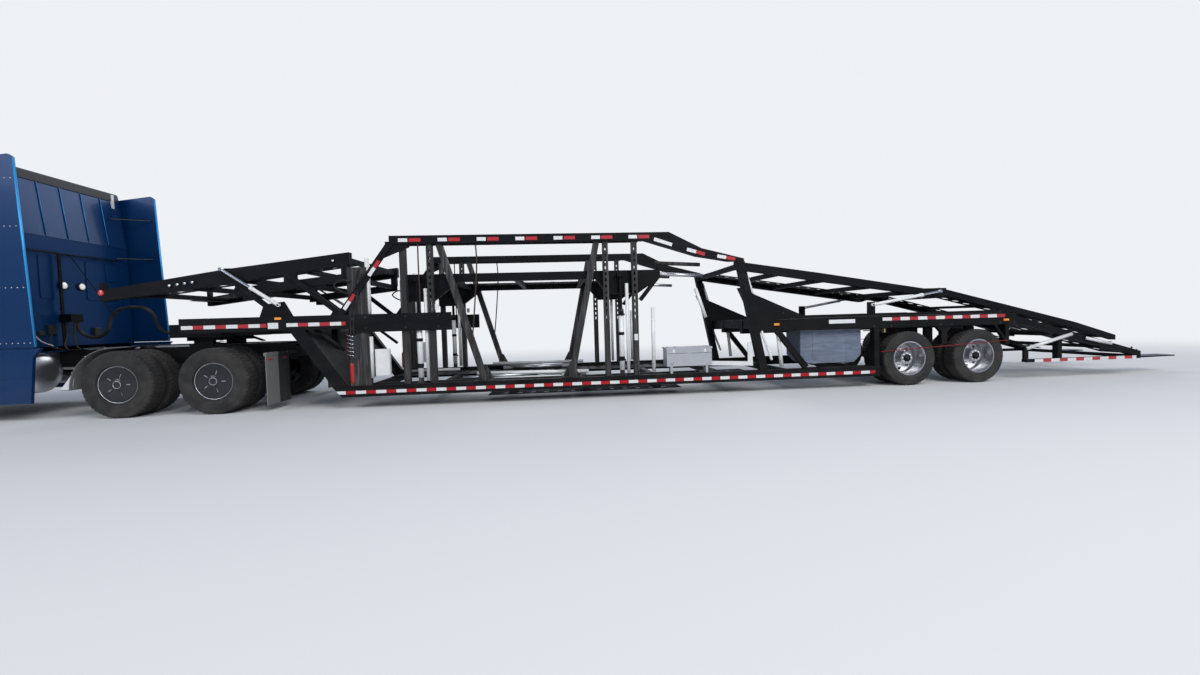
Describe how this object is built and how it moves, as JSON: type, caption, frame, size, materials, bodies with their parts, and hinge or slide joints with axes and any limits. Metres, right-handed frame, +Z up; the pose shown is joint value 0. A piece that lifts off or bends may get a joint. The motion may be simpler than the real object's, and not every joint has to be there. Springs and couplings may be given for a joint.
{
  "type": "articulated car transporter truck",
  "caption": "Sleeper-cab tractor with an open two-level car-carrier semi-trailer, lifting decks and loading ramps.",
  "frame": {"origin": "on the ground under the middle of the whole vehicle", "axes": "+X to the rear, +Y to the vehicle's right, +Z up"},
  "size_m": [24.8, 2.59, 3.9499],
  "materials": {
    "axle_iron": "dusty",
    "barrel_white": "white paint",
    "box_alloy": "brushed",
    "bumper_blue": "metallic blue",
    "cab_blue": "deep metallic blue, glossy",
    "chrome_rod": "polished",
    "deck_steel": "worn black",
    "flap_grey": "grey rubber",
    "frame_black": "satin black, dusty",
    "glass_clear": "clear",
    "grille_black": "matt",
    "hose_black": "black sleeve",
    "interior_grey": "grey",
    "lamp_amber": "amber lens",
    "lamp_clear": "clear lens",
    "rim_alloy": "polished alloy",
    "rim_black": "black wheel covers",
    "tank_alloy": "polished",
    "tyre_black": "rubber"
  },
  "bodies": {
    "tractor": {"tractor_frame": "frame_black", "tractor_axles": "axle_iron", "engine": "axle_iron", "cab_shell": "cab_blue", "cab_glass": "glass_clear", "bumper": "bumper_blue", "fuel_tanks": "tank_alloy", "side_fairings": "cab_blue", "cab_interior": "interior_grey", "fifth_wheel": "frame_black", "drive_fenders": "flap_grey", "air_line": "hose_black"},
    "hood": {"hood": "cab_blue", "headlamps": "lamp_clear", "grille": "grille_black"},
    "door_left": {"door_left": "cab_blue", "door_glass_left": "glass_clear"},
    "door_right": {"door_right": "cab_blue", "door_glass_right": "glass_clear"},
    "knuckle_left": {"knuckle_left": "axle_iron"},
    "knuckle_right": {"knuckle_right": "axle_iron"},
    "front_wheel_left": {"front_wheel_left_tyre": "tyre_black", "front_wheel_left_rim": "rim_black"},
    "front_wheel_right": {"front_wheel_right_tyre": "tyre_black", "front_wheel_right_rim": "rim_black"},
    "drive_front_left_wheels": {"drive_front_left_tyres": "tyre_black", "drive_front_left_rims": "rim_black"},
    "drive_front_right_wheels": {"drive_front_right_tyres": "tyre_black", "drive_front_right_rims": "rim_black"},
    "drive_rear_left_wheels": {"drive_rear_left_tyres": "tyre_black", "drive_rear_left_rims": "rim_black"},
    "drive_rear_right_wheels": {"drive_rear_right_tyres": "tyre_black", "drive_rear_right_rims": "rim_black"},
    "trailer": {"gooseneck": "frame_black", "uprights": "frame_black", "top_rails": "frame_black", "trailer_chassis": "frame_black", "trailer_axles": "axle_iron", "lower_deck": "deck_steel", "side_boxes": "box_alloy", "trailer_lamps": "lamp_amber"},
    "trailer_front_left_wheels": {"trailer_front_left_tyres": "tyre_black", "trailer_front_left_rims": "rim_alloy"},
    "trailer_front_right_wheels": {"trailer_front_right_tyres": "tyre_black", "trailer_front_right_rims": "rim_alloy"},
    "trailer_rear_left_wheels": {"trailer_rear_left_tyres": "tyre_black", "trailer_rear_left_rims": "rim_alloy"},
    "trailer_rear_right_wheels": {"trailer_rear_right_tyres": "tyre_black", "trailer_rear_right_rims": "rim_alloy"},
    "head_arms_front": {"head_arms_front": "frame_black"},
    "head_deck": {"head_deck": "frame_black"},
    "head_arms_rear": {"head_arms_rear": "frame_black"},
    "head_barrels": {"head_barrels": "barrel_white"},
    "head_rods": {"head_rods": "chrome_rod"},
    "mid_deck": {"mid_deck": "frame_black"},
    "rear_deck": {"rear_deck": "frame_black"},
    "rear_barrels": {"rear_barrels": "barrel_white"},
    "rear_rods": {"rear_rods": "chrome_rod"},
    "upper_ramp": {"upper_ramp": "frame_black"},
    "tail_ramp": {"tail_ramp": "frame_black"}
  },
  "joints": [
    {"name": "trailer_swing", "type": "hinge", "parent": "tractor", "child": "trailer", "pos_m": [-5.08, 0, 1.18], "axis": [0, 0, 1], "range_deg": [-60, 60], "deforming": ["air_line"]},
    {"name": "steer_left", "type": "hinge", "parent": "tractor", "child": "knuckle_left", "pos_m": [-11.15, -0.83, 0.51], "axis": [0, 0, 1], "range_deg": [-32, 32]},
    {"name": "steer_right", "type": "hinge", "parent": "tractor", "child": "knuckle_right", "pos_m": [-11.15, 0.83, 0.51], "axis": [0, 0, 1], "range_deg": [-32, 32]},
    {"name": "front_left_spin", "type": "hinge", "parent": "knuckle_left", "child": "front_wheel_left", "pos_m": [-11.15, -1.03, 0.51], "axis": [0, 1, 0], "continuous": true},
    {"name": "front_right_spin", "type": "hinge", "parent": "knuckle_right", "child": "front_wheel_right", "pos_m": [-11.15, 1.03, 0.51], "axis": [0, 1, 0], "continuous": true},
    {"name": "drive_front_left_spin", "type": "hinge", "parent": "tractor", "child": "drive_front_left_wheels", "pos_m": [-5.76, -1, 0.51], "axis": [0, 1, 0], "continuous": true},
    {"name": "drive_front_right_spin", "type": "hinge", "parent": "tractor", "child": "drive_front_right_wheels", "pos_m": [-5.76, 1, 0.51], "axis": [0, 1, 0], "continuous": true},
    {"name": "drive_rear_left_spin", "type": "hinge", "parent": "tractor", "child": "drive_rear_left_wheels", "pos_m": [-4.4, -1, 0.51], "axis": [0, 1, 0], "continuous": true},
    {"name": "drive_rear_right_spin", "type": "hinge", "parent": "tractor", "child": "drive_rear_right_wheels", "pos_m": [-4.4, 1, 0.51], "axis": [0, 1, 0], "continuous": true},
    {"name": "trailer_front_left_spin", "type": "hinge", "parent": "trailer", "child": "trailer_front_left_wheels", "pos_m": [6.85, -1, 0.465], "axis": [0, 1, 0], "continuous": true},
    {"name": "trailer_front_right_spin", "type": "hinge", "parent": "trailer", "child": "trailer_front_right_wheels", "pos_m": [6.85, 1, 0.465], "axis": [0, 1, 0], "continuous": true},
    {"name": "trailer_rear_left_spin", "type": "hinge", "parent": "trailer", "child": "trailer_rear_left_wheels", "pos_m": [8.12, -1, 0.465], "axis": [0, 1, 0], "continuous": true},
    {"name": "trailer_rear_right_spin", "type": "hinge", "parent": "trailer", "child": "trailer_rear_right_wheels", "pos_m": [8.12, 1, 0.465], "axis": [0, 1, 0], "continuous": true},
    {"name": "hood_tilt", "type": "hinge", "parent": "tractor", "child": "hood", "pos_m": [-12.21, 0, 0.79], "axis": [0, -1, 0], "range_deg": [0, 60]},
    {"name": "door_left_hinge", "type": "hinge", "parent": "tractor", "child": "door_left", "pos_m": [-10.287, -1.09832, 1.5], "axis": [0, 0, -1], "range_deg": [0, 68]},
    {"name": "door_right_hinge", "type": "hinge", "parent": "tractor", "child": "door_right", "pos_m": [-10.287, 1.09832, 1.5], "axis": [0, 0, 1], "range_deg": [0, 68]},
    {"name": "head_front_arm", "type": "hinge", "parent": "trailer", "child": "head_arms_front", "pos_m": [-3.567, 0, 1.61], "axis": [0, 1, 0], "range_deg": [-18, 30]},
    {"name": "head_deck_pivot", "type": "hinge", "parent": "head_arms_front", "child": "head_deck", "pos_m": [-4.20647, 0, 2.14849], "axis": [0, 1, 0], "range_deg": [-31, 19]},
    {"name": "head_rear_arm", "type": "hinge", "parent": "trailer", "child": "head_arms_rear", "pos_m": [-2.558, 0, 1.522], "axis": [0, 1, 0], "range_deg": [-19, 31]},
    {"name": "head_barrel_pivot", "type": "hinge", "parent": "trailer", "child": "head_barrels", "pos_m": [-3.387, 0, 1.645], "axis": [0, 1, 0], "range_deg": [-20, 32]},
    {"name": "head_rod_slide", "type": "slide", "parent": "head_barrels", "child": "head_rods", "axis": [-0.8187, 0, 0.5742], "range_m": [-0.09, 0.09]},
    {"name": "mid_deck_lift", "type": "slide", "parent": "trailer", "child": "mid_deck", "axis": [0, 0, 1], "range_m": [-0.5, 0.4]},
    {"name": "rear_deck_tilt", "type": "hinge", "parent": "trailer", "child": "rear_deck", "pos_m": [3.92, 0, 2.11], "axis": [0, -1, 0], "range_deg": [0, 9]},
    {"name": "rear_barrel_pivot", "type": "hinge", "parent": "trailer", "child": "rear_barrels", "pos_m": [6.22, 0, 1.4], "axis": [0, -1, 0], "range_deg": [-1, 23.39]},
    {"name": "rear_rod_slide", "type": "slide", "parent": "rear_barrels", "child": "rear_rods", "axis": [0.987, 0, 0.1605], "range_m": [-0.02, 0.237]},
    {"name": "upper_ramp_tilt", "type": "hinge", "parent": "rear_deck", "child": "upper_ramp", "pos_m": [7.56, 0, 1.59], "axis": [0, -1, 0], "range_deg": [0, 18]},
    {"name": "tail_ramp_tilt", "type": "hinge", "parent": "trailer", "child": "tail_ramp", "pos_m": [8.74, 0, 1.12], "axis": [0, -1, 0], "range_deg": [-4, 0]}
  ],
  "couplings": [
    {"joint": "steer_right", "follows": "steer_left", "ratio": 1},
    {"joint": "head_deck_pivot", "follows": "head_front_arm", "ratio": -1},
    {"joint": "head_rear_arm", "follows": "head_front_arm", "ratio": 1},
    {"joint": "head_barrel_pivot", "follows": "head_front_arm", "ratio": 0.85859},
    {"joint": "head_rod_slide", "follows": "head_front_arm", "m_per_rad": -0.09015},
    {"joint": "rear_barrel_pivot", "follows": "rear_deck_tilt", "ratio": 2.4874},
    {"joint": "rear_rod_slide", "follows": "rear_deck_tilt", "m_per_rad": 1.3789}
  ]
}
